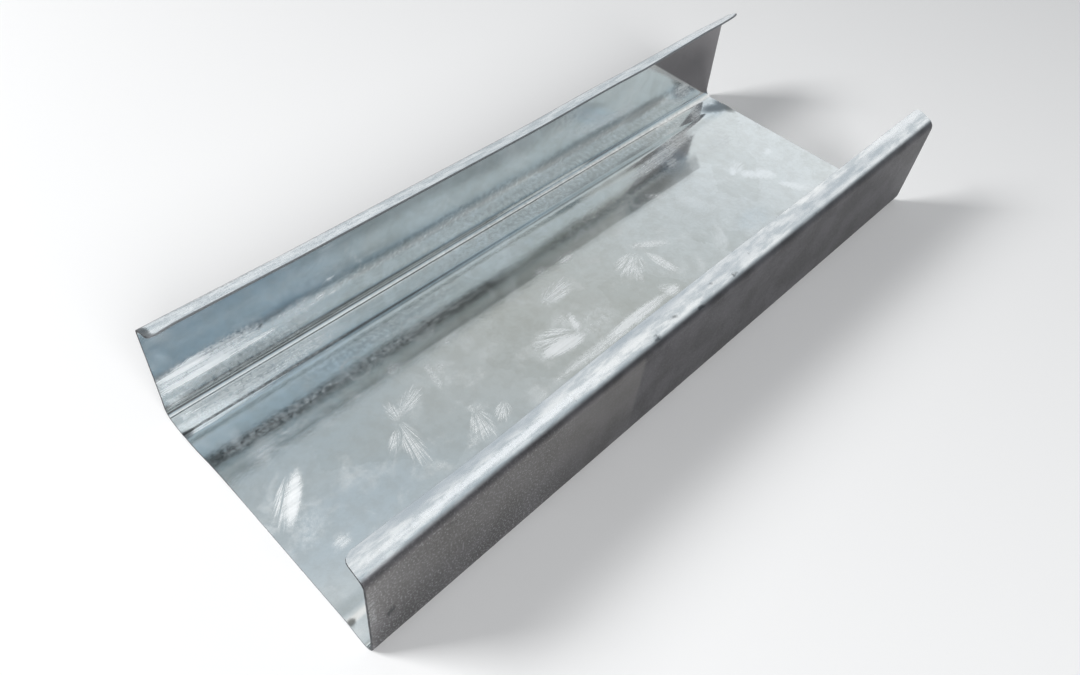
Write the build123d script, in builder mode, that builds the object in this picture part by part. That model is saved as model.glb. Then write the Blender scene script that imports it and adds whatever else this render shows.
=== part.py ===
# Short cut piece of a lipped channel drywall stud, cold rolled from galvanised sheet steel.
# X runs along the piece, Y across the web, Z up out of the open side.
# The origin is the middle of the web's underside, which lies on the ground.
import os
from math import cos, radians, sin, tan

from build123d import *

# Driving sizes, in millimetres
web_width = 76.0  # over the outer faces of the two flanges, at the web
stud_height = 31.0  # from the web's underside to the free edge of a lip
piece_length = 207.5
sheet_thickness = 0.6

web_bend_radius = 2.8  # outer radius of the two bends beside the web
lip_bend_radius = 2.6  # outer radius of the two bends under the lips
lip_reach = 5.8  # from the flange's plane in to the free edge of the lip

rib_inset = 9.0  # from the flange's plane to the crown of the rib pressed up into the web
rib_rise = 0.3
rib_outer_width = 1.5  # from the crown to the foot on the flange's side, the steeper one
rib_inner_width = 3.0
rib_radius = 1.5

near_spring_length = 36.0  # stretch of the near end that has sprung since it was cut
far_spring_length = 48.0
lip_corner_radius = 1.8  # rounding of the lips' free corners by the shear

# Driving angles, in degrees
lip_rise = 15.0  # a lip stops this far short of square, so its free edge is its highest line
far_left_lip_rise = 24.0  # this corner has been bent further open
near_cut_skew = 0.8  # the near cut is out of square, and falls back on the left

# Lean of a flange out of the upright, in degrees: each cut end has sprung open a little
left_lean_near = 0.4
left_lean_middle = -0.6
left_lean_far = 1.8
right_lean_near = 0.7
right_lean_middle = 0.2
right_lean_far = 0.4

lip_width = lip_reach / cos(radians(lip_rise))  # along the lip, from its bend's corner
lip_base = stud_height - lip_width * sin(radians(lip_rise))


def half_outline(lean, rise):
    """Outer face of one half section, from the lip's free edge to the web, as (inset, height)."""
    lip_corner = (-lip_base * tan(radians(lean)), lip_base)
    free_edge = (
        lip_corner[0] + lip_width * cos(radians(rise)),
        lip_corner[1] + lip_width * sin(radians(rise)),
    )
    web_corner = (0, 0)
    rib = [(rib_inset - rib_outer_width, 0), (rib_inset, rib_rise), (rib_inset + rib_inner_width, 0)]
    return [free_edge, lip_corner, web_corner, *rib]


half_radii = [lip_bend_radius, web_bend_radius, rib_radius, rib_radius, rib_radius]

# Where the section changes along the piece: place, skew about Z, then lean and lip rise, left and right
half_length = piece_length / 2
stations = [
    (-half_length, -near_cut_skew, (left_lean_near, lip_rise), (right_lean_near, lip_rise)),
    (-half_length + near_spring_length, 0, (left_lean_middle, lip_rise), (right_lean_middle, lip_rise)),
    (half_length - far_spring_length, 0, (left_lean_middle, lip_rise), (right_lean_middle, lip_rise)),
    (half_length, 0, (left_lean_far, far_left_lip_rise), (right_lean_far, lip_rise)),
]

# Stud: one sheet of even thickness, with its section drawn at each station
with BuildPart() as stud:
    for place, skew, left_side, right_side in stations:
        right = [(inset - web_width / 2, height) for inset, height in half_outline(*right_side)]
        left = [(web_width / 2 - inset, height) for inset, height in half_outline(*left_side)]
        with BuildSketch(Plane.YZ.offset(place).rotated((0, 0, skew))):
            with BuildLine():
                FilletPolyline(*right, *reversed(left), radius=half_radii + half_radii[::-1])
                offset(amount=sheet_thickness, side=Side.LEFT)
            make_face()
    loft(ruled=True)

    # The shear leaves the free corners of the lips slightly rounded
    lip_ends = (
        stud.edges()
        .filter_by(lambda edge: abs(abs(edge.center().X) - half_length) < near_spring_length / 2)
        .filter_by(lambda edge: abs(edge.length - sheet_thickness) < sheet_thickness / 100)
        .filter_by(lambda edge: edge.center().Z > stud_height / 2)
    )
    fillet(lip_ends, radius=lip_corner_radius)

stud.part.label = "stud"

os.makedirs("parts", exist_ok=True)
export_step(stud.part, "parts/stud.step")
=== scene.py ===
import math
import bmesh
import bpy
from mathutils import Matrix, Vector, noise


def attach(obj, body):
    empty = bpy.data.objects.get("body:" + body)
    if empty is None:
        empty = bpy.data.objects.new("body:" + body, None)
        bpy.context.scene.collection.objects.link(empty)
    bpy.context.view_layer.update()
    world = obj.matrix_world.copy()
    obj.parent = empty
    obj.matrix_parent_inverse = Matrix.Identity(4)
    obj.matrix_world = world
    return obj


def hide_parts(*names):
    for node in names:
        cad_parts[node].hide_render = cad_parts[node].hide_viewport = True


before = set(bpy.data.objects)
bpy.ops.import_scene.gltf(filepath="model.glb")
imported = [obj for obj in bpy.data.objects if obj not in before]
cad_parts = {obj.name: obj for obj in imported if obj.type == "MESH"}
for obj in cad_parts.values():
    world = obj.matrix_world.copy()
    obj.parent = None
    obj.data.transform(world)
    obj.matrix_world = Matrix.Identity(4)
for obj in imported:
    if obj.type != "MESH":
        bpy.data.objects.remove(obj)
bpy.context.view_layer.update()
mm = 0.001  # sizes below are in millimetres, the scene is in metres

# The sheet of the stud, with the same section as the CAD solid. Its near end is the one at -X
sheet = {
    "webWidth": 76.0,
    "height": 31.0,
    "length": 207.5,
    "thickness": 0.6,
    "webBend": 2.8,  # outer radii
    "lipBend": 2.6,
    "lipReach": 5.8,
    "lipRise": 15.0,  # degrees short of square
    "farLeftLipRise": 24.0,
    "lipTurnFrom": 2.0,  # how far below its corner the far left lip starts to open, and over what length
    "lipTurnOver": 2.5,
    "ribInset": 9.0,
    "ribRise": 0.27,
    "ribOuter": 1.5,
    "ribInner": 3.0,
    "ribBend": 5.6,
    "ribFootBend": 22.0,
    "nearSpring": 36.0,
    "farSpring": 48.0,
    "nearSkew": 0.8,
    "leftLean": (0.4, -0.6, 1.8),  # near, middle, far, in degrees
    "rightLean": (0.7, 0.2, 0.4),
    "leanInset": 10.0,  # a flange's lean moves only what is this near to its face
    "lipCorner": 1.8,
    "nearLeftFallBack": 0.67,  # degrees that the left flange's near cut leans back
    "endStrip": 3.0,  # finer rows beside each cut
    "endRows": 8,
    "rows": 170,
    "columns": [(1.2, 3.2, 2), (3.2, 20.0, 4), (20.0, 40.0, 19), (40.0, 99.0, 42)],  # width from, to, cuts
    "edgeRound": 0.1,
    "smoothUnder": 40.0,  # degrees
}
sheet["lipWidth"] = sheet["lipReach"] / math.cos(math.radians(sheet["lipRise"]))
sheet["lipBase"] = sheet["height"] - sheet["lipWidth"] * math.sin(math.radians(sheet["lipRise"]))


def deselectAll():
    if bpy.context.object and bpy.context.object.mode != "OBJECT":
        bpy.ops.object.mode_set(mode="OBJECT")
    bpy.ops.object.select_all(action="DESELECT")


def pickEdges(piece, test):
    bpy.ops.mesh.select_all(action="DESELECT")
    bm = bmesh.from_edit_mesh(piece.data)
    for edge in bm.edges:
        a, b = (vert.co / mm for vert in edge.verts)
        if test(a, b):
            edge.select_set(True)
    bmesh.update_edit_mesh(piece.data)


def near(value, target, slack=0.01):
    return abs(value - target) < slack


def smooth(t):
    t = min(max(t, 0), 1)
    return t * t * (3 - 2 * t)


def halfSection():
    # Corners of the outer face from the rib outwards: distance from the middle, height, bend radius
    half = sheet["webWidth"] / 2
    crown = half - sheet["ribInset"]
    rise = math.radians(sheet["lipRise"])
    along = sheet["lipWidth"] - sheet["lipCorner"]
    return [
        (crown - sheet["ribInner"], 0, sheet["ribFootBend"]),
        (crown, sheet["ribRise"], sheet["ribBend"]),
        (crown + sheet["ribOuter"], 0, sheet["ribBend"]),
        (half, 0, sheet["webBend"]),
        (half, sheet["lipBase"], sheet["lipBend"]),
        (half - along * math.cos(rise), sheet["lipBase"] + along * math.sin(rise), 0),
        (half - sheet["lipReach"], sheet["height"], 0),
    ]


def rollSection():
    # A flat strip, drawn out to the two flanges and lips, then bent at its corners
    corners = halfSection()
    strip = sheet["length"] - 2 * sheet["endStrip"]
    bpy.ops.mesh.primitive_plane_add(size=1, location=(0, 0, 0))
    piece = bpy.context.object
    piece.name = "stud_sheet"
    bpy.ops.object.mode_set(mode="EDIT")
    bpy.ops.mesh.select_mode(type="EDGE")
    bpy.ops.transform.resize(value=(strip * mm, 2 * corners[0][0] * mm, 1))
    for side in (-1, 1):
        pickEdges(piece, lambda a, b: near(a.x, side * strip / 2) and near(b.x, side * strip / 2))
        bpy.ops.mesh.extrude_region_move(
            TRANSFORM_OT_translate={"value": (side * sheet["endStrip"] * mm, 0, 0)})
    for side in (-1, 1):
        for (y, z, _), (nextY, nextZ, _) in zip(corners, corners[1:]):
            pickEdges(piece, lambda a, b: all(near(p.y, side * y) and near(p.z, z) for p in (a, b)))
            bpy.ops.mesh.extrude_region_move(
                TRANSFORM_OT_translate={"value": (0, side * (nextY - y) * mm, (nextZ - z) * mm)})
    before = (0, 0)
    for (y, z, radius), after in zip(corners[:-1], corners[1:]):
        turn = (Vector((after[0] - y, after[1] - z))).angle(Vector((y - before[0], z - before[1])))
        before = (y, z)
        if radius == 0:
            continue
        pickEdges(piece, lambda a, b: near(a.y, b.y) and near(abs(a.y), y) and near(a.z, z) and near(b.z, z))
        bpy.ops.mesh.bevel(
            offset=radius * math.tan(turn / 2) * mm, offset_type="OFFSET", affect="EDGES",
            segments=max(5, round(math.degrees(turn) / 9)), profile=0.5, clamp_overlap=False)
    return piece


def divideSheet(piece):
    # Rows and columns fine enough for the bow, the dents and the nicks
    for low, high, cuts in sheet["columns"]:
        pickEdges(piece, lambda a, b: near(a.x, b.x) and low < (a - b).length < high)
        bpy.ops.mesh.subdivide(number_cuts=cuts)
    stretch, pieces = sheet["endStrip"], sheet["endRows"]
    pickEdges(piece, lambda a, b: near((a - b).length, abs(a.x - b.x)) and near(abs(a.x - b.x), stretch))
    bpy.ops.mesh.subdivide(number_cuts=pieces - 1)
    stretch = sheet["length"] - 2 * sheet["endStrip"]
    for pieces in (sheet["rows"] // 10, 10):  # in two steps, because one makes at most 100 cuts
        pickEdges(piece, lambda a, b: near(abs(a.x - b.x), stretch))
        bpy.ops.mesh.subdivide(number_cuts=pieces - 1)
        stretch /= pieces


def faceOut(piece):
    # The web's outer face looks down
    bpy.ops.mesh.select_all(action="SELECT")
    bpy.ops.mesh.normals_make_consistent(inside=False)
    bm = bmesh.from_edit_mesh(piece.data)
    bm.normal_update()
    middle = min(bm.faces, key=lambda face: face.calc_center_median().length)
    if middle.normal.z > 0:
        bpy.ops.mesh.flip_normals()


def acrossSheet(y, z):
    # Distance from the middle line, measured round the bends as if the sheet lay flat again
    half = sheet["webWidth"] / 2
    side = 1 if y > 0 else -1
    y = abs(y)
    webFlat = half - sheet["webBend"]
    if y <= webFlat and z < sheet["webBend"]:
        return side * y
    bent = webFlat + sheet["webBend"] * math.pi / 2
    if z < sheet["webBend"]:
        return side * (webFlat + sheet["webBend"] * math.atan2(y - webFlat, sheet["webBend"] - z))
    lipTurn = math.radians(90 - sheet["lipRise"])
    trim = sheet["lipBend"] * math.tan(lipTurn / 2)
    top = sheet["lipBase"] - trim
    if z <= top:
        return side * (bent + z - sheet["webBend"])
    centre = half - sheet["lipBend"]
    angle = math.atan2(z - top, y - centre)
    bentTwice = bent + top - sheet["webBend"] + sheet["lipBend"] * lipTurn
    if angle < lipTurn:
        return side * (bent + top - sheet["webBend"] + sheet["lipBend"] * angle)
    endY = centre + sheet["lipBend"] * math.cos(lipTurn)
    endZ = top + sheet["lipBend"] * math.sin(lipTurn)
    return side * (bentTwice + math.hypot(y - endY, z - endZ))


sheet["halfDeveloped"] = abs(acrossSheet(sheet["webWidth"] / 2 - sheet["lipReach"], sheet["height"]))


def mapSheet(piece):
    # The piece's own UV map is the flat sheet before rolling, in millimetres: along, across
    layer = piece.data.uv_layers[0]
    layer.name = "sheetMap"
    flat = [(vert.co.x / mm, acrossSheet(vert.co.y / mm, vert.co.z / mm)) for vert in piece.data.vertices]
    for loop in piece.data.loops:
        layer.data[loop.index].uv = flat[loop.vertex_index]
    return flat


def between(x, nearValue, middleValue, farValue):
    # Even along the middle, easing to its own value at each cut end
    half = sheet["length"] / 2
    if x < -half + sheet["nearSpring"]:
        t = (-half + sheet["nearSpring"] - x) / sheet["nearSpring"]
        return middleValue + (nearValue - middleValue) * t
    if x > half - sheet["farSpring"]:
        t = (x - half + sheet["farSpring"]) / sheet["farSpring"]
        return middleValue + (farValue - middleValue) * t
    return middleValue


def springSheet(piece, flat):
    # The cut ends have sprung, the near cut is out of square, and the lips' corners are rounded
    half = sheet["length"] / 2
    skew = math.tan(math.radians(sheet["nearSkew"]))
    corner = sheet["lipCorner"]
    lipCorner = Vector((sheet["webWidth"] / 2, sheet["lipBase"]))
    for vert, (along, across) in zip(piece.data.vertices, flat):
        x, y, z = vert.co / mm
        wasY = y
        side = 1 if y > 0 else -1
        depth = sheet["halfDeveloped"] - abs(across)  # in from the lip's free edge
        if depth < corner and half - abs(x) < sheet["endStrip"]:
            cut = corner - math.sqrt(max(corner ** 2 - (corner - depth) ** 2, 0))
            share = 1 - (half - abs(x)) / sheet["endStrip"]
            x -= math.copysign(cut * share, x)
        if side > 0 and z > sheet["lipBase"] - sheet["lipBend"]:
            turned = between(along, 0, 0, sheet["farLeftLipRise"] - sheet["lipRise"])
            swing = Matrix.Rotation(math.radians(-turned), 2) @ (Vector((y, z)) - lipCorner)
            share = smooth((sheet["lipWidth"] - depth + sheet["lipTurnFrom"]) / sheet["lipTurnOver"])
            y, z = Vector((y, z)).lerp(lipCorner + swing, share)
        lean = between(along, *sheet["leftLean" if side > 0 else "rightLean"])
        if abs(y) > sheet["webWidth"] / 2 - sheet["leanInset"]:
            y += side * math.tan(math.radians(lean)) * min(max(z, 0), sheet["lipBase"])
        t = max(0, (-half + sheet["nearSpring"] - along) / sheet["nearSpring"])
        x += skew * wasY * t
        if side > 0:
            x += math.tan(math.radians(sheet["nearLeftFallBack"])) * z * t
        vert.co = Vector((x, y, z)) * mm


# Small losses of shape, chosen from the photo: where each is, how far it reaches and how far it pushes
shapeMarks = {
    "nearCut": [{"at": 29.0, "reach": 9.0, "push": 0.42}, {"at": -35.5, "reach": 5.0, "push": 0.22}],
    "nearCutDepth": 8.0,
    "rightLipBow": {"at": -70.0, "reach": 24.0, "push": 0.7},
    "lipLift": 0.45,
    "rightLipIn": 0.5,
    "leftBow": {"from": 5.0, "full": 45.0, "back": 84.0, "end": 104.0, "push": 0.75},
    "cornerCrush": {"reach": 6.0, "push": 0.6},
    "farTip": {"reach": 14.0, "push": 0.7},
    "webWave": 0.035,
    "flangeWave": 0.10,
    "waveFade": (12.0, 14.0),  # from the flange's plane, in over the web and up the flange
    "longWave": (46.0, 30.0, 3.1),  # length along and across, and its place in the noise
    "shortWave": (17.0, 13.0, 8.7),
}


def bumpAt(mark, value):
    return math.exp(-((value - mark["at"]) / mark["reach"]) ** 2)


def waveAt(wave, along, across):
    return noise.noise(Vector((along / wave[0], across / wave[1], wave[2])))


def wearSheet(piece, flat):
    # What handling and the shear did to the sheet, by listed pushes
    half = sheet["length"] / 2
    halfWeb = sheet["webWidth"] / 2
    marks = shapeMarks
    for vert, (along, across) in zip(piece.data.vertices, flat):
        x, y, z = vert.co / mm
        fromNear = along + half
        for mark in marks["nearCut"]:
            x -= mark["push"] * bumpAt(mark, across) * max(0, 1 - fromNear / marks["nearCutDepth"])
        depth = sheet["halfDeveloped"] - abs(across)
        onLip = smooth(1 - depth / sheet["lipWidth"])
        if across <= 0:
            bow = marks["rightLipBow"]
            y -= bow["push"] * onLip * bumpAt(bow, along)
            y += marks["rightLipIn"] * onLip
        else:
            crush = marks["cornerCrush"]
            z -= crush["push"] * onLip * max(0, 1 - fromNear / crush["reach"])
            tip = marks["farTip"]
            z += tip["push"] * onLip * max(0, 1 - (half - along) / tip["reach"]) ** 2
            bow = marks["leftBow"]
            out = smooth((along - bow["from"]) / (bow["full"] - bow["from"]))
            out *= 1 - smooth((along - bow["back"]) / (bow["end"] - bow["back"]))
            y += bow["push"] * out * min(z / sheet["lipBase"], 1)
        z += marks["lipLift"] * onLip
        wave = waveAt(marks["longWave"], along, across)
        if abs(across) < halfWeb - sheet["webBend"]:
            fade = smooth((halfWeb - abs(across)) / marks["waveFade"][0])
            z += marks["webWave"] * fade * (wave + 0.5 * waveAt(marks["shortWave"], along, across))
        else:
            rise = smooth((abs(across) - halfWeb) / marks["waveFade"][1])
            y += marks["flangeWave"] * rise * wave
        vert.co = Vector((x, y, z)) * mm


# Stains and bright patches, among them painted shade, painted dark reflections and painted highlights,
# chosen from the photo, as they lie on the flat sheet in millimetres: along, across, half length, half
# width, turn in degrees, strength.
# The left flange starts at 36.8 across and its lip ends at 71.7, and the right side is negative.
insidePaint = {
    # Pale: white zinc bloom, and painted highlights and reflections, such as the bright streak on the left
    # flange near the near cut and the lighter paint on the web under the left lip
    "pale": [
        (-95.5, 0.3, 7.6, 1.9, 49, 1.0), (-97, -8, 6, 4, 20, 0.3), (-94, -15, 2.4, 2.0, 0, 0.6),
        (-51, 6, 5.5, 1.4, 78, 0.5), (-35, 2.5, 6, 3, 15, 0.22), (-55, -14, 6, 1.8, 30, 0.35),
        (-20, -9, 8, 2.6, -8, 0.95), (-12, -5.5, 4, 1.3, 70, 0.75), (-24, -4, 5, 2, 30, 0.4),
        (-8.5, 4.5, 6.5, 2.4, -5, 0.5), (-12, -15.8, 23, 1.8, 0, 0.55), (2, -15.2, 15, 1.9, 0, 0.85),
        (4.5, 12.5, 3.2, 0.9, 8, 0.8), (-5, 14, 2.2, 1.6, 0, 0.5), (63, 21, 5.5, 3.4, 50, 0.45),
        (75, 5, 3.0, 1.4, 30, 0.9), (77, 0.5, 2.8, 1.4, -40, 0.9), (83, -2.5, 3.8, 1.6, -70, 0.9),
        (85, -14, 3.6, 1.6, -45, 0.8), (93, 3.5, 2.4, 1.4, 10, 0.7), (44, -12.5, 6, 2.4, 50, 0.4),
        (61, -14, 4, 2.4, 40, 0.35), (-57, 14, 3, 2, 20, 0.4), (27, 1, 7, 1.1, -28, 0.75),
        (24.3, -6, 6.5, 1.0, -86, 0.8), (46, 13.4, 4.8, 1.0, -42, 0.75), (47, -11, 5.5, 1.4, 60, 0.6),
        (17.5, -15.4, 3, 1.8, 0, 0.85), (15.5, -5, 4.5, 0.9, 60, 0.5), (79.5, -1, 6.5, 1.8, -55, 0.95),
        (84, -11.5, 4.5, 1.8, -55, 0.9), (-63, 3, 5.0, 1.2, 25, 0.45), (-41, 12, 3, 1.6, 20, 0.35),
        (-84, 15.5, 20, 1.9, 0, 0.3), (-50, -8.5, 3.5, 1.4, -30, 0.4), (-60, 19.6, 50, 2.3, 0, 0.3),
        (-78, 30.1, 26, 0.8, 0, 0.35), (-93, 44.8, 13, 1.5, 1, 0.95), (-97, 48.4, 9, 1.6, 4, 0.95),
        (-92, 47.0, 19, 4.6, 2, 0.6), (-84, 50.0, 10, 2.4, 8, 0.3), (-79, 44.6, 7, 1.0, 2, 0.8),
        (-69, 47.5, 9, 2.4, 6, 0.35), (-66, 45.2, 10, 1.0, 2, 0.4), (-60, 47.3, 2, 1, 0, 0.7),
        (-57, 50.8, 2, 1, 0, 0.5), (-56, 46.0, 2, 1.2, 0, 0.5), (-48.5, 52.3, 9, 1.0, -66, 0.25),
        (-16.5, 53.3, 6, 1.0, -45, 0.22), (-27.5, 43.3, 5, 0.9, -55, 0.22), (28, 58.8, 10, 4.5, 10, 0.22),
        (57, 54.8, 8, 4, 10, 0.22), (88, 45.2, 6.5, 3.4, -25, 0.5), (-80, 33.2, 29, 3.4, 0, 0.5),
        (-98, 34.6, 6, 1.6, 0, 0.5), (-67, 34.2, 5, 1.8, 0, 0.4), (63, 24.8, 21, 2.8, 5, 0.62),
        (91, 32.3, 7, 2.2, 35, 0.5), (76, 28.4, 13, 1.0, 3, 0.5), (-8, -9, 10, 5, 0, 0.3),
    ],
    # Dark: dirt, and painted shade and dark reflections, such as the dark line along the left bend and the
    # dark bands on the web under the left lip and along the left flange
    "dark": [
        (-103.6, 29.6, 2.2, 1.5, 0, 1.0), (-103.2, -30.2, 1.3, 0.9, 0, 1.0), (-80, 33, 5, 0.8, 0, 0.35),
        (-88, 32, 2, 0.7, 20, 0.4), (99.5, 30.0, 7, 3.0, -22, 1.0), (103, 29, 3, 5, 0, 1.0),
        (53, 18.5, 13, 3.0, -3, 0.28), (22, 19, 26, 2.8, 0, 0.44), (-50, 25.2, 29, 2.8, 0, 0.34),
        (-77, 48.3, 0.9, 0.9, 0, 0.9), (-18, 47.5, 46, 2.9, 0, 0.5), (40, 47.3, 40, 2.9, 0, 0.62),
        (66, 46.8, 16, 2.9, 0, 0.72), (-82, 40.4, 22, 2.6, 0, 0.38), (-40, 40.2, 24, 2.0, 0, 0.15),
        (30, 36.2, 84, 1.6, 0, 0.4), (-70, 38.6, 30, 0.7, 0, 0.35), (42, 33, 76, 2.4, 0, 0.34),
    ],
    "cool": [
        (-80, 20, 40, 20, 0, 0.6), (-80, 55, 40, 12, 0, 0.8), (-84, 15, 20, 2.5, 0, 0.9),
        (-90, -12, 22, 12, 0, 0.5), (63, 21, 9, 6, 50, 0.9), (0, 50, 90, 14, 0, 0.35),
        (60, -13, 8, 4, 0, 0.4), (98, 31, 8, 5, 0, 0.9),
    ],
}
outsidePaint = {
    "pale": [
        (-66, -68.7, 40, 0.8, 0, 0.9), (90, -70.5, 22, 1.4, 0, 0.8), (84, -67.5, 34, 0.9, 0, 0.4),
        (-66, 69.7, 50, 2.8, 0, 0.5), (88, 69.7, 26, 3.0, 0, 0.7), (-103, -55, 1.4, 10, 0, 0.35),
    ],
    "dark": [
        (-99, -49.3, 1.1, 2.4, 8, 1.0), (-84, -63.6, 2.0, 0.8, 10, 0.8), (-24, -67.2, 1.4, 0.7, 0, 0.9),
        (-17, -68.6, 1.0, 0.5, 20, 0.8), (-9, -66.6, 1.6, 0.6, 0, 0.9), (-2, -69.0, 1.0, 0.5, 0, 0.7),
        (5, -67.6, 1.3, 0.6, 0, 0.8), (13, -68.8, 0.9, 0.5, 0, 0.7), (40, -66.9, 0.9, 0.5, 0, 0.7),
        (-50, -68.0, 1.0, 0.5, 0, 0.6), (-12, -68.6, 26, 0.9, 0, 0.3), (-103.4, 69.0, 1.5, 4.0, 0, 1.0),
        (-86, 67.6, 16, 0.5, 0, 0.6), (26, -61.5, 3, 1.2, 30, 0.4),
    ],
    "cool": [
        (-76, -71.4, 34, 1.6, 0, 0.8), (-25, -71.3, 22, 1.5, 0, 0.8), (10, -70.0, 22, 2.2, 0, 0.4),
        (58, -69.0, 42, 1.4, 0, 0.6),
    ],
}
patch = {"end": 1.3, "fade": 0.9}  # where a patch ends and how wide it fades, in half widths


def paintSheet(piece, flat, name, marks):
    # Each patch fades from its middle, and the material's grain makes its edge ragged
    layer = piece.data.color_attributes.new(name=name, type="FLOAT_COLOR", domain="POINT")
    values = [[0.0, 0.0, 0.0, 1.0] for _ in flat]
    for channel, kind in enumerate(("pale", "dark", "cool")):
        for along, across, halfLength, halfWidth, turn, strength in marks[kind]:
            c, s = math.cos(math.radians(turn)), math.sin(math.radians(turn))
            reach = max(halfLength, halfWidth) * patch["end"]
            for i, (u, v) in enumerate(flat):
                du, dv = u - along, v - across
                if abs(du) > reach or abs(dv) > reach:
                    continue
                r = math.hypot((c * du + s * dv) / halfLength, (c * dv - s * du) / halfWidth)
                share = strength * smooth((patch["end"] - r) / patch["fade"])
                values[i][channel] = max(values[i][channel], share)
    for item, value in zip(layer.data, values):
        item.color = value


def makeSheet():
    deselectAll()
    piece = rollSection()
    divideSheet(piece)
    faceOut(piece)
    bpy.ops.object.mode_set(mode="OBJECT")
    flat = mapSheet(piece)
    print("sheet rolled", len(flat), "points")
    paintSheet(piece, flat, "insideMarks", insidePaint)
    paintSheet(piece, flat, "outsideMarks", outsidePaint)
    print("sheet painted")
    springSheet(piece, flat)
    wearSheet(piece, flat)
    lift = -min(vert.co.z for vert in piece.data.vertices)
    for vert in piece.data.vertices:
        vert.co.z += lift
    solid = piece.modifiers.new("thickness", "SOLIDIFY")
    solid.thickness = sheet["thickness"] * mm
    solid.offset = -1
    solid.use_even_offset = True
    solid.material_offset = 1
    solid.material_offset_rim = 2
    soften = piece.modifiers.new("shearedEdges", "BEVEL")
    soften.width = sheet["edgeRound"] * mm
    soften.segments = 2
    soften.limit_method = "ANGLE"
    soften.angle_limit = math.radians(60)
    soften.material = 2
    return piece


def sharpenRim(piece):
    # The faces stay true right up to the sheared edge, so their mirror doesn't curl there
    found = {}
    for face in piece.data.polygons:
        for loop in face.loop_indices:
            found.setdefault(piece.data.loops[loop].edge_index, set()).add(face.material_index)
    for index, materials in found.items():
        if len(materials) > 1:
            piece.data.edges[index].use_edge_sharp = True


stud = makeSheet()
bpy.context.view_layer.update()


def addNode(tree, kind, settings, inputs, output=0):
    # Inputs are a list in order or a dictionary by name or number. With output None it gives all outputs
    made = tree.nodes.new("ShaderNode" + kind)
    for name, value in settings.items():
        setattr(made, name, value)
    for place, value in inputs.items() if isinstance(inputs, dict) else enumerate(inputs):
        if isinstance(value, bpy.types.NodeSocket):
            tree.links.new(value, made.inputs[place])
        else:
            made.inputs[place].default_value = value
    return made.outputs if output is None else made.outputs[output]


# Settings that many nodes share
product = {"operation": "MULTIPLY"}
scaledSum = {"operation": "MULTIPLY_ADD"}
total = {"operation": "ADD"}
larger = {"operation": "MAXIMUM"}
positive = {"operation": "ABSOLUTE"}
distance = {"operation": "LENGTH"}
polarAngle = {"operation": "ARCTAN2"}
eased = {"interpolation_type": "SMOOTHSTEP"}  # inputs: value, from, to, and what it gives at each
colourMix = {"data_type": "RGBA"}  # inputs 0, 6, 7: share, under, over
flatNoise = {"noise_dimensions": "2D"}


def linear(hexColour):
    parts = [int(hexColour[i:i + 2], 16) / 255 for i in (1, 3, 5)]
    return [p / 12.92 if p <= 0.04045 else ((p + 0.055) / 1.055) ** 2.4 for p in parts] + [1]


def startMaterial(name, colour, metallic, roughness):
    material = bpy.data.materials.new(name)
    material.use_nodes = True
    shader = material.node_tree.nodes["Principled BSDF"]
    shader.inputs["Base Color"].default_value = linear(colour)
    shader.inputs["Metallic"].default_value = metallic
    shader.inputs["Roughness"].default_value = roughness
    return material, material.node_tree, shader


def withinAll(tree, start, *limits):
    # The start, taken down wherever a place falls outside one of the eased limits
    share = start
    for limit in limits:
        inside = addNode(tree, "MapRange", eased, limit)
        share = addNode(tree, "Math", product, [share, inside])
    return share


def raggedPatch(tree, mark, grain, raggedness, fadeFrom, fadeTo):
    # How much a painted patch covers: the grain moves its edge in and out
    moved = addNode(tree, "Math", scaledSum, [grain, raggedness, -raggedness / 2])
    moved = addNode(tree, "Math", total, [moved, mark])
    return withinAll(tree, mark, [moved, fadeFrom, fadeTo])


# Zinc crystals of the coating: the fern growth in them, the strong ones by place as painted glints, and
# round water marks
spangle = {
    "width": 17.0,
    "uneven": 0.9,
    "fernSpacing": 1.5,
    "fernWander": 5.0,  # radians, by the grain
    "fans": [  # along, across, turn, reach, narrowness
        (-66, 2.5, -101, 18, 3.6), (-66, 1.5, 22, 13, 2.8), (-66, 0, 80, 8, 2.6), (-67, 0, -138, 9, 3.4),
        (-50.5, -8, -110, 11, 1.8), (-43, -11, -140, 8, 2.0), (22, 2, -150, 14, 1.6),
        (23.0, 0, -82, 15, 4.0), (22, 4, -32, 15, 5.0), (14, -12, -35, 8, 2.0), (-12, -9, 165, 17, 1.8),
        (73, 4, 20, 10, 2.0), (80, 2, -62, 11, 2.6), (-92, 7, -128, 17, 3.0), (42, 16, -40, 10, 4.0),
        (82, -11, -40, 10, 2.2), (41, -16, 50, 11, 2.0), (0, 13, 0, 9, 3.0), (-14, 5, 5, 15, 2.4),
    ],
    "fanPlump": 1.3,  # widens every fan a little
    "rays": (9.0, 0.7, 1),  # noise per radian, and along the fan's length
    "rayShades": (0.34, 0.64, 0.08, 0.72),
    "rings": [(-63.5, 20, 3.3), (-44, 20, 4.0), (-44, 19, 2.2)],  # along, across, radius
    "ringLine": (0.1, 1.0),
}


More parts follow.
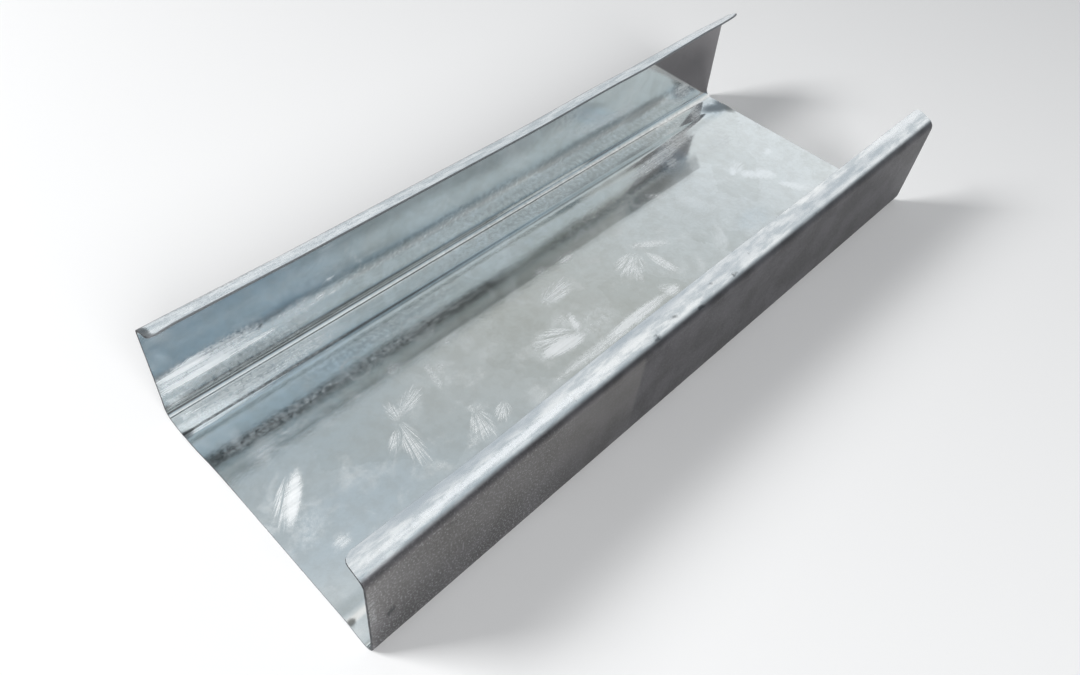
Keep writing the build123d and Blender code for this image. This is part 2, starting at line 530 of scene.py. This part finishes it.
def fernPattern(tree, place, grain):
    # Six-armed growth round the middle of each crystal, drawn coarser than the real one to show
    cell = addNode(tree, "TexVoronoi", {"voronoi_dimensions": "2D"},
                   {"Vector": place, "Scale": 1 / spangle["width"], "Randomness": spangle["uneven"]}, None)
    turn, tone, strength = addNode(tree, "SeparateColor", {}, [cell["Color"]], None)
    local = addNode(tree, "VectorMath", {"operation": "SUBTRACT"}, [place, cell["Position"]])
    x, y, _ = addNode(tree, "SeparateXYZ", {}, [local], None)
    angle = addNode(tree, "Math", polarAngle, [y, x])
    turned = addNode(tree, "Math", scaledSum, [turn, 2 * math.pi, angle])
    fold = addNode(tree, "Math", {"operation": "PINGPONG"}, [turned, math.pi / 6])
    slant = addNode(tree, "Math", total, [fold, math.pi / 6])
    side = addNode(tree, "Math", {"operation": "COSINE"}, [slant])
    radius = addNode(tree, "VectorMath", distance, [local], "Value")
    line = addNode(tree, "Math", product, [side, radius])
    phase = addNode(tree, "Math", product, [grain, spangle["fernWander"]])
    phase = addNode(tree, "Math", scaledSum, [line, 2 * math.pi / spangle["fernSpacing"], phase])
    wave = addNode(tree, "Math", {"operation": "SINE"}, [phase])
    return tone, strength, wave


def fanPattern(tree, place):
    # The few crystals that flash, as painted glints: rays spreading from the tip of an ellipse, whose middle
    # is the origin
    chosen = None
    for along, across, turn, reach, narrow in spangle["fans"]:
        turned, half = math.radians(turn), reach / 2
        middle = (along + half * math.cos(turned), across + half * math.sin(turned), 0)
        here = addNode(tree, "Mapping", {"vector_type": "TEXTURE"},
                       {"Vector": place, "Location": middle, "Rotation": (0, 0, turned),
                        "Scale": (half, spangle["fanPlump"] * half / narrow, 1)})
        if chosen is None:
            chosen = here
            continue
        fromMiddle = addNode(tree, "VectorMath", distance, [here], "Value")
        inside = addNode(tree, "Math", {"operation": "LESS_THAN"}, [fromMiddle, 1.0])
        chosen = addNode(tree, "Mix", {"data_type": "VECTOR"}, {0: inside, 4: chosen, 5: here}, 1)
    fromMiddle = addNode(tree, "VectorMath", distance, [chosen], "Value")
    tip = addNode(tree, "VectorMath", total, [chosen, (1.0, 0.0, 0.0)])
    x, y, _ = addNode(tree, "SeparateXYZ", {}, [tip], None)
    angle = addNode(tree, "Math", polarAngle, [y, x])
    fromTip = addNode(tree, "VectorMath", distance, [tip], "Value")
    polar = addNode(tree, "CombineXYZ", {}, [angle, fromTip])
    polar = addNode(tree, "Mapping", {}, {"Vector": polar, "Scale": spangle["rays"]})
    rays = addNode(tree, "TexNoise", flatNoise,
                   {"Vector": polar, "Scale": 1.0, "Detail": 3.0, "Roughness": 0.6})
    bright = addNode(tree, "MapRange", eased, [rays, *spangle["rayShades"]])
    ragged = addNode(tree, "Math", scaledSum, [rays, -1.1, fromMiddle])
    return withinAll(tree, bright, [ragged, -0.3, 0.35, 0.95, 0.0], [fromMiddle, 0.8, 1.0, 1.0, 0.0])


def ringPattern(tree, place):
    # Round water marks
    best = 0.0
    for along, across, radius in spangle["rings"]:
        away = addNode(tree, "VectorMath", {"operation": "DISTANCE"}, [place, (along, across, 0)], "Value")
        off = addNode(tree, "Math", {"operation": "SUBTRACT"}, [away, radius])
        off = addNode(tree, "Math", positive, [off])
        line = addNode(tree, "MapRange", eased, [off, *spangle["ringLine"], 1.0, 0.0])
        best = addNode(tree, "Math", larger, [line, best])
    return best


# The bright side. Widths are in millimetres
insideFinish = {
    "crystals": ("#dfe2e1", "#e7eaea"),
    "cool": "#d2e0ea",
    "fern": "#f6f8fa",
    "cloud": "#c8c7c2",
    # white of the zinc bloom, also of the painted highlights and reflections
    "bloom": "#fcfeff",
    "dirtAndPaintedShade": ("#454745", "#36434e"),  # plain, and where the zinc is cool
    "grainWidth": 1.33333,
    "cloudWidth": 4.54545,
    "cloudShift": 5.0,
    "bloomWidth": 10.0,
    "streak": (16.6667, 0.625),  # length and width
    "roughness": 0.05,
    "grainDepth": 0.012,
}
# Painted dark reflection of the left lip's shaded underside on the web, up to a sharp line, which ends on a
# slant before the far cut
lipUndersideReflection = {
    "foot": 13.6, "crown": 16.8, "fade": 4.0, "edge": 0.35, "from": -72.0, "full": -30.0, "end": 68.0,
    "slant": 0.9, "depth": 0.33, "colour": "#3c4448",
}
# Painted dark reflection of the ground beyond the far cut, on the far corner of the left flange: the ends of
# its slanting edge
farCornerReflection = {"top": (66.0, 63.3), "foot": (99.6, 39.8), "colour": "#888688", "softness": 1.0}


def paintLipUndersideReflection(tree, along, across, grain, colour):
    band = lipUndersideReflection
    height = addNode(tree, "Math", total, [across, grain])
    past = addNode(tree, "Math", scaledSum, [height, -band["slant"], along])
    end = band["end"] - band["foot"] * band["slant"]
    share = withinAll(
        tree, 1.0,
        [height, band["foot"] - band["edge"], band["foot"] + band["edge"]],
        [height, band["crown"], band["crown"] + band["fade"], 1.0, 0.0],
        [past, end - 1, end + 1, band["depth"], 0.0],
        [along, band["from"], band["full"], 0.35, 1.0])
    return addNode(tree, "Mix", colourMix, {0: share, 6: colour, 7: linear(band["colour"])}, 2)


def paintFarCornerReflection(tree, along, across, colour):
    (topAlong, topAcross), (footAlong, footAcross) = farCornerReflection["top"], farCornerReflection["foot"]
    slope = (footAlong - topAlong) / (topAcross - footAcross)
    past = addNode(tree, "Math", scaledSum, [across, slope, along])
    line = topAlong + topAcross * slope
    share = withinAll(tree, 1.0, [past, line, line + farCornerReflection["softness"]],
                      [across, 37.0, 37.6], [across, 64.5, 65.0, 1.0, 0.0])
    return addNode(tree, "Mix", colourMix, {0: share, 6: colour, 7: linear(farCornerReflection["colour"])}, 2)


def makeInside():
    # Hot-dip zinc that has kept its brightness: cloudy mirror, crystal facets, ferns and white bloom, with
    # painted highlights, painted shade and painted dark reflections laid over them
    material, tree, shader = startMaterial("galvanisedInside", "#c9cccd", 1, 0.15)
    finish = insideFinish
    flat = addNode(tree, "UVMap", {"uv_map": "sheetMap"}, [])
    along, across, _ = addNode(tree, "SeparateXYZ", {}, [flat], None)
    cloud, cloudColour = addNode(
        tree, "TexNoise", flatNoise,
        {"Vector": flat, "Scale": 1 / finish["cloudWidth"], "Detail": 4.0, "Roughness": 0.65}, None)
    push = finish["cloudShift"]
    shift = addNode(tree, "VectorMath", scaledSum, [cloudColour, (push, push, 0), (-push / 2, -push / 2, 0)])
    place = addNode(tree, "VectorMath", total, [flat, shift])
    grain = addNode(tree, "TexNoise", flatNoise,
                    {"Vector": flat, "Scale": 1 / finish["grainWidth"], "Detail": 4.0, "Roughness": 0.7})
    bloom = addNode(tree, "TexNoise", flatNoise, {"Vector": flat, "Scale": 1 / finish["bloomWidth"],
                                                  "Detail": 4.0, "Roughness": 0.62, "Distortion": 0.3})
    streaky = addNode(tree, "Mapping", {},
                      {"Vector": flat, "Scale": (1 / finish["streak"][0], 1 / finish["streak"][1], 1)})
    drawn = addNode(tree, "TexNoise", flatNoise,
                    {"Vector": streaky, "Scale": 1.0, "Detail": 3.0, "Roughness": 0.6})
    painted = addNode(tree, "Attribute", {"attribute_name": "insideMarks"}, [], "Color")
    paleMark, darkMark, coolMark = addNode(tree, "SeparateColor", {}, [painted], None)

    tone, strength, fern = fernPattern(tree, place, grain)
    cells = addNode(tree, "MapRange", eased, [tone, 0.0, 1.0])
    cool = addNode(tree, "Math", product, [coolMark, 0.7])
    ferns = withinAll(tree, 0.3, [fern, -1.0, 1.0], [strength, 0.3, 0.9, 0.05, 0.5])
    clouds = withinAll(tree, 0.25, [cloud, 0.35, 0.7])
    rings = withinAll(tree, ringPattern(tree, flat), [grain, 0.25, 0.7, 0.1, 0.3])
    bloom = withinAll(tree, 1.0, [bloom, 0.5, 0.75, 0.0, 0.3], [across, 12, 30, 1.0, 0.3])
    # White patches: bloom, painted highlights, and the painted glints of the flashing crystals
    bloomAndPaintedHighlights = raggedPatch(tree, paleMark, grain, 1.6, -0.15, 0.6)
    for other in (fanPattern(tree, flat), rings, bloom):
        bloomAndPaintedHighlights = addNode(tree, "Math", larger, [bloomAndPaintedHighlights, other])
    bloomAndPaintedHighlights = withinAll(tree, bloomAndPaintedHighlights, [drawn, 0.3, 0.6, 0.65, 1.0])
    dark = raggedPatch(tree, darkMark, grain, -1.8, -0.2, 0.6)
    dark = addNode(tree, "Math", product, [dark, 0.8])

    low, high = (linear(colour) for colour in finish["crystals"])
    colour = addNode(tree, "Mix", colourMix, {0: cells, 6: low, 7: high}, 2)
    layers = [(cool, "cool"), (ferns, "fern"), (clouds, "cloud"), (bloomAndPaintedHighlights, "bloom")]
    for share, name in layers:
        colour = addNode(tree, "Mix", colourMix, {0: share, 6: colour, 7: linear(finish[name])}, 2)
    # The dark marks are dirt, and painted shade and dark reflections
    plain, bluish = (linear(colour) for colour in finish["dirtAndPaintedShade"])
    dirtAndPaintedShade = addNode(tree, "Mix", colourMix, {0: coolMark, 6: plain, 7: bluish}, 2)
    colour = addNode(tree, "Mix", colourMix, {0: dark, 6: colour, 7: dirtAndPaintedShade}, 2)
    # Painted dark reflection of the left lip's shaded underside on the web
    colour = paintLipUndersideReflection(tree, along, across, grain, colour)
    # Painted dark reflection of the ground on the left flange's far corner
    colour = paintFarCornerReflection(tree, along, across, colour)

    # The white patches, bloom and painted highlights alike, are dull towards the near end and beside the
    # band, and still bright zinc elsewhere
    nearEnd = addNode(tree, "MapRange", eased, [along, 10, 55, 1.0, 0.1])
    besideBand = addNode(tree, "MapRange", eased, [across, 10, 14])
    dull = addNode(tree, "Math", larger, [nearEnd, besideBand])
    dull = addNode(tree, "Math", product, [bloomAndPaintedHighlights, dull])
    rough = finish["roughness"]
    for share, weight in ((cells, 0.03), (dull, 0.35), (drawn, 0.06)):
        rough = addNode(tree, "Math", scaledSum, [share, weight, rough])
    metal = addNode(tree, "Math", scaledSum, [dull, -0.95, 1.0])
    bump = addNode(tree, "Bump", {},
                   {"Strength": 1.0, "Distance": finish["grainDepth"] * mm, "Height": grain})
    tree.links.new(colour, shader.inputs["Base Color"])
    tree.links.new(rough, shader.inputs["Roughness"])
    tree.links.new(metal, shader.inputs["Metallic"])
    tree.links.new(bump, shader.inputs["Normal"])
    return material


# The side that met the rollers. Widths are in millimetres
outsideFinish = {
    "zincWithPaintedDarkReflection": ("#545355", "#676669"),
    "lip": ("#c9d0d4", "#f0f3f4"),
    "specks": "#d4d6d8",
    "paleStretch": "#a6a39e",
    "pale": "#f2f6f9",
    "cool": "#a4afb8",
    "dark": "#34363a",
    "lipFrom": (66.3, 67.7),  # across the bend
    "paleStretchFrom": (-28.5, -30.0),  # a paler stretch of the flange, up to an edge across it
    "grainWidth": 1.11111,
    "cloudWidth": 11.1111,
    "speckWidth": 0.526316,
    "wornPatch": (8.33333, 1.66667),  # length and width
    "roughness": 0.38,
    "grainDepth": 0.03,
}


def makeOutside():
    # The face that met the rollers: zinc painted dark with a reflection of the dark ground beside it, with
    # fine pale specks, bright on the lips
    material, tree, shader = startMaterial("galvanisedOutside", "#7d7f81", 1, 0.4)
    finish = outsideFinish
    flat = addNode(tree, "UVMap", {"uv_map": "sheetMap"}, [])
    along, across, _ = addNode(tree, "SeparateXYZ", {}, [flat], None)
    out = addNode(tree, "Math", positive, [across])
    grain = addNode(tree, "TexNoise", flatNoise,
                    {"Vector": flat, "Scale": 1 / finish["grainWidth"], "Detail": 4.0, "Roughness": 0.75})
    cloud = addNode(tree, "TexNoise", flatNoise,
                    {"Vector": flat, "Scale": 1 / finish["cloudWidth"], "Detail": 4.0, "Roughness": 0.6})
    fine = addNode(tree, "TexNoise", flatNoise,
                   {"Vector": flat, "Scale": 1 / finish["speckWidth"], "Detail": 2.0, "Roughness": 0.7})
    worn = addNode(tree, "Mapping", {},
                   {"Vector": flat, "Scale": (1 / finish["wornPatch"][0], 1 / finish["wornPatch"][1], 1)})
    worn = addNode(tree, "TexNoise", flatNoise,
                   {"Vector": worn, "Scale": 1.0, "Detail": 5.0, "Roughness": 0.65})
    painted = addNode(tree, "Attribute", {"attribute_name": "outsideMarks"}, [], "Color")
    paleMark, darkMark, coolMark = addNode(tree, "SeparateColor", {}, [painted], None)

    share = addNode(tree, "MapRange", eased, [cloud, 0.3, 0.7])
    # Painted dark reflection: the outer zinc is darkened for the ground it mirrors
    low, high = (linear(colour) for colour in finish["zincWithPaintedDarkReflection"])
    colour = addNode(tree, "Mix", colourMix, {0: share, 6: low, 7: high}, 2)
    share = addNode(tree, "MapRange", eased, [worn, 0.35, 0.65])
    low, high = (linear(colour) for colour in finish["lip"])
    bright = addNode(tree, "Mix", colourMix, {0: share, 6: low, 7: high}, 2)
    lip = addNode(tree, "MapRange", eased, [out, *finish["lipFrom"]])
    colour = addNode(tree, "Mix", colourMix, {0: lip, 6: colour, 7: bright}, 2)
    specks = withinAll(tree, 1.0, [fine, 0.55, 0.68], [along, -45, -65, 0.1, 0.5], [out, 64, 66, 1.0, 0.15])
    paleStretch = withinAll(tree, 1.0, [along, *finish["paleStretchFrom"]], [out, 42, 58, 0.25, 1.0],
                       [out, 66.5, 64.0, 0.0, 0.3])
    pale = raggedPatch(tree, paleMark, grain, 1.6, 0.15, 0.85)
    cool = addNode(tree, "Math", product, [coolMark, 0.8])
    dark = raggedPatch(tree, darkMark, grain, -1.4, 0.25, 0.8)
    dark = addNode(tree, "Math", product, [dark, 0.8])
    layers = [(specks, "specks"), (paleStretch, "paleStretch"), (pale, "pale"), (cool, "cool"), (dark, "dark")]
    for share, name in layers:
        colour = addNode(tree, "Mix", colourMix, {0: share, 6: colour, 7: linear(finish[name])}, 2)

    rough = finish["roughness"]
    for share, weight in ((lip, -0.18), (grain, 0.15)):
        rough = addNode(tree, "Math", scaledSum, [share, weight, rough])
    metal = addNode(tree, "Math", scaledSum, [pale, -0.6, 1.0])
    bump = addNode(tree, "Bump", {},
                   {"Strength": 1.0, "Distance": finish["grainDepth"] * mm, "Height": grain})
    tree.links.new(colour, shader.inputs["Base Color"])
    tree.links.new(rough, shader.inputs["Roughness"])
    tree.links.new(metal, shader.inputs["Metallic"])
    tree.links.new(bump, shader.inputs["Normal"])
    return material


cutEdge = {
    "steel": ("#2c2d2f", "#5a5b5e"),
    "tearWidth": 1.25,
    "web": "#85888b",  # the web's cut catches the light, away from its left side
    "webHeight": (2.0, 0.8),
    "webSide": (14.0, 2.0),
    "slit": "#8d8f92",  # the long edges were slit at the mill, and lie inside the two cuts
    "slitWithin": (103.0, 102.0),
}


def makeCutEdge():
    # Bare steel where the shear went through: grey, a little torn
    material, tree, shader = startMaterial("shearedEdge", "#77787a", 1, 0.6)
    place = addNode(tree, "TexCoord", {}, [], "Object")
    torn = addNode(tree, "TexNoise", {},
                   {"Vector": place, "Scale": 1 / (cutEdge["tearWidth"] * mm), "Detail": 3.0})
    share = addNode(tree, "MapRange", eased, [torn, 0.35, 0.65])
    low, high = (linear(colour) for colour in cutEdge["steel"])
    colour = addNode(tree, "Mix", colourMix, {0: share, 6: low, 7: high}, 2)
    x, y, z = addNode(tree, "SeparateXYZ", {}, [place], None)
    web = withinAll(tree, 1.0, [z, *(value * mm for value in cutEdge["webHeight"])],
                    [y, *(value * mm for value in cutEdge["webSide"])])
    alongside = addNode(tree, "Math", positive, [x])
    slit = addNode(tree, "MapRange", eased, [alongside, *(value * mm for value in cutEdge["slitWithin"])])
    for share, name in ((web, "web"), (slit, "slit")):
        colour = addNode(tree, "Mix", colourMix, {0: share, 6: colour, 7: linear(cutEdge[name])}, 2)
    tree.links.new(colour, shader.inputs["Base Color"])
    return material


for material in (makeOutside(), makeInside(), makeCutEdge()):
    stud.data.materials.append(material)
print("materials made")
deselectAll()
stud.select_set(True)
bpy.context.view_layer.objects.active = stud
for name in ("thickness", "shearedEdges"):
    bpy.ops.object.modifier_apply(modifier=name)
bpy.ops.object.shade_smooth_by_angle(angle=math.radians(sheet["smoothUnder"]))
sharpenRim(stud)
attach(stud, "root")
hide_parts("stud")
print("stud finished", len(stud.data.vertices), "points")


def seenRays(tree):
    # Rays from the eye, and rays from the eye or from what mirrors it
    rays = addNode(tree, "LightPath", {}, [], None)
    seen = addNode(tree, "Math", larger, [rays["Is Camera Ray"], rays["Is Glossy Ray"]])
    return rays["Is Camera Ray"], addNode(tree, "Math", larger, [seen, rays["Is Transmission Ray"]])


# The floor is pale paper, and pale right out to the horizon: from where to where, and how strong
ground = {"size": 6, "colour": "#f4f4f4", "glow": (0.3, 1.2, 0.0, 0.72)}  # metres
deselectAll()
bpy.ops.mesh.primitive_plane_add(size=ground["size"], location=(0, 0, 0))
floor = bpy.context.object
floor.name = "floor"
paper, tree, shader = startMaterial("palePaper", ground["colour"], 0, 0.9)
away = addNode(tree, "VectorMath", distance, [addNode(tree, "TexCoord", {}, [], "Object")], "Value")
glow = withinAll(tree, seenRays(tree)[1], [away, *ground["glow"]])
tree.links.new(glow, shader.inputs["Emission Strength"])
shader.inputs["Emission Color"].default_value = linear(ground["colour"])
floor.data.materials.append(paper)
print("floor laid")

# The metal mirrors a pale room with a long window overhead, and what lights the floor is weaker
room = {
    "height": [(0.0, "#d8dde0"), (0.28, "#e2e7ea"), (0.46, "#eaeff2"), (0.555, "#f0f5f8"), (0.6, "#dbe1e5"),
               (0.65, "#ced4d6"), (0.72, "#c4c7c5"), (0.79, "#c3c8c9"), (0.84, "#bec7cc"), (1.0, "#f0f5f8")],
    "shadeSide": [(0.4, "#dde4e8"), (0.52, "#d3dbdf"), (0.58, "#c4ced3"), (0.63, "#b9c5cc"),
                  (0.67, "#a2b3be"), (0.76, "#5c5c5e")],  # towards -Y
    "shadeFrom": (-0.2, -0.4),
    "window": "#ffffff",
    "windowMiddle": -0.06,
    "windowHalf": 0.16,
    "windowFade": 0.2,
    "windowHeight": (0.3, 0.5),
    "backdrop": "#f4f4f4",
    "light": "#e8ecf0",
    "lightStrength": 0.25,
}


def fillRamp(ramp, stops):
    for i, (at, colour) in enumerate(stops):
        stop = ramp.elements[i] if i < len(ramp.elements) else ramp.elements.new(at)
        stop.position = at
        stop.color = linear(colour)


world = bpy.data.worlds.new("softStudio")
bpy.context.scene.world = world
world.use_nodes = True
tree = world.node_tree
tree.nodes.clear()
_, y, z = addNode(tree, "SeparateXYZ", {}, [addNode(tree, "TexCoord", {}, [], "Generated")], None)
sky = addNode(tree, "ValToRGB", {}, [z])
fillRamp(sky.node.color_ramp, room["height"])
behind = addNode(tree, "Math", product, [y, -1.0])
shaded = addNode(tree, "ValToRGB", {}, [behind])
fillRamp(shaded.node.color_ramp, room["shadeSide"])
share = addNode(tree, "MapRange", eased, [y, *room["shadeFrom"]])
sky = addNode(tree, "Mix", colourMix, {0: share, 6: sky, 7: shaded}, 2)
off = addNode(tree, "Math", {"operation": "SUBTRACT"}, [y, room["windowMiddle"]])
off = addNode(tree, "Math", positive, [off])
share = withinAll(tree, 1.0, [off, room["windowHalf"], room["windowHalf"] + room["windowFade"], 1.0, 0.0],
                  [z, *room["windowHeight"]])
sky = addNode(tree, "Mix", colourMix, {0: share, 6: sky, 7: linear(room["window"])}, 2)
eyeRay, seen = seenRays(tree)
sky = addNode(tree, "Mix", colourMix, {0: eyeRay, 6: sky, 7: linear(room["backdrop"])}, 2)
dim = addNode(tree, "Background", {}, [linear(room["light"]), room["lightStrength"]])
bright = addNode(tree, "Background", {}, [sky, 1.0])
mix = addNode(tree, "MixShader", {}, [seen, dim, bright])
addNode(tree, "OutputWorld", {}, [mix], None)
print("room set")

# A soft key from the left of the picture, and a softer fill from the viewer's side, in metres and watts
lamps = {
    "keyLamp": {"from": (-0.62, 0.50, 0.62), "size": 0.35, "power": 8.0},
    "fillLamp": {"from": (-0.30, -0.75, 0.60), "size": 0.5, "power": 5.2},
}
for name, lamp in lamps.items():
    deselectAll()
    bpy.ops.object.light_add(type="AREA", location=lamp["from"])
    made = bpy.context.object
    made.name = name
    made.data.size = lamp["size"]
    made.data.energy = lamp["power"]
    made.rotation_euler = (-Vector(lamp["from"])).to_track_quat("-Z", "Y").to_euler()
print("lamps set")

# The photograph's angle, in degrees and millimetres
camera = {
    "azimuth": -51.3474,
    "elevation": 48.3764,
    "roll": 7.2955,
    "distance": 202.1606,
    "target": (-32.5013, -11.1479, 15.0),
    "lens": 28.6598,
    "sensor": 36,
}
azimuth, elevation, roll = (math.radians(camera[name]) for name in ("azimuth", "elevation", "roll"))
aside = math.cos(elevation)
back = Vector((math.sin(azimuth) * aside, -math.cos(azimuth) * aside, math.sin(elevation)))
level = (-back).cross(Vector((0, 0, 1))).normalized()
upright = level.cross(-back)
right = math.cos(roll) * level + math.sin(roll) * upright
up = -math.sin(roll) * level + math.cos(roll) * upright
eye = (Vector(camera["target"]) + back * camera["distance"]) * mm
deselectAll()
bpy.ops.object.camera_add(location=eye)
view = bpy.context.object
view.name = "photoCamera"
view.rotation_euler = Matrix((right, up, back)).transposed().to_euler()
view.data.sensor_width = camera["sensor"]
view.data.lens = camera["lens"]
view.data.clip_start = 0.01
bpy.context.scene.camera = view
print("camera set")

bpy.context.scene.view_settings.view_transform = "Standard"
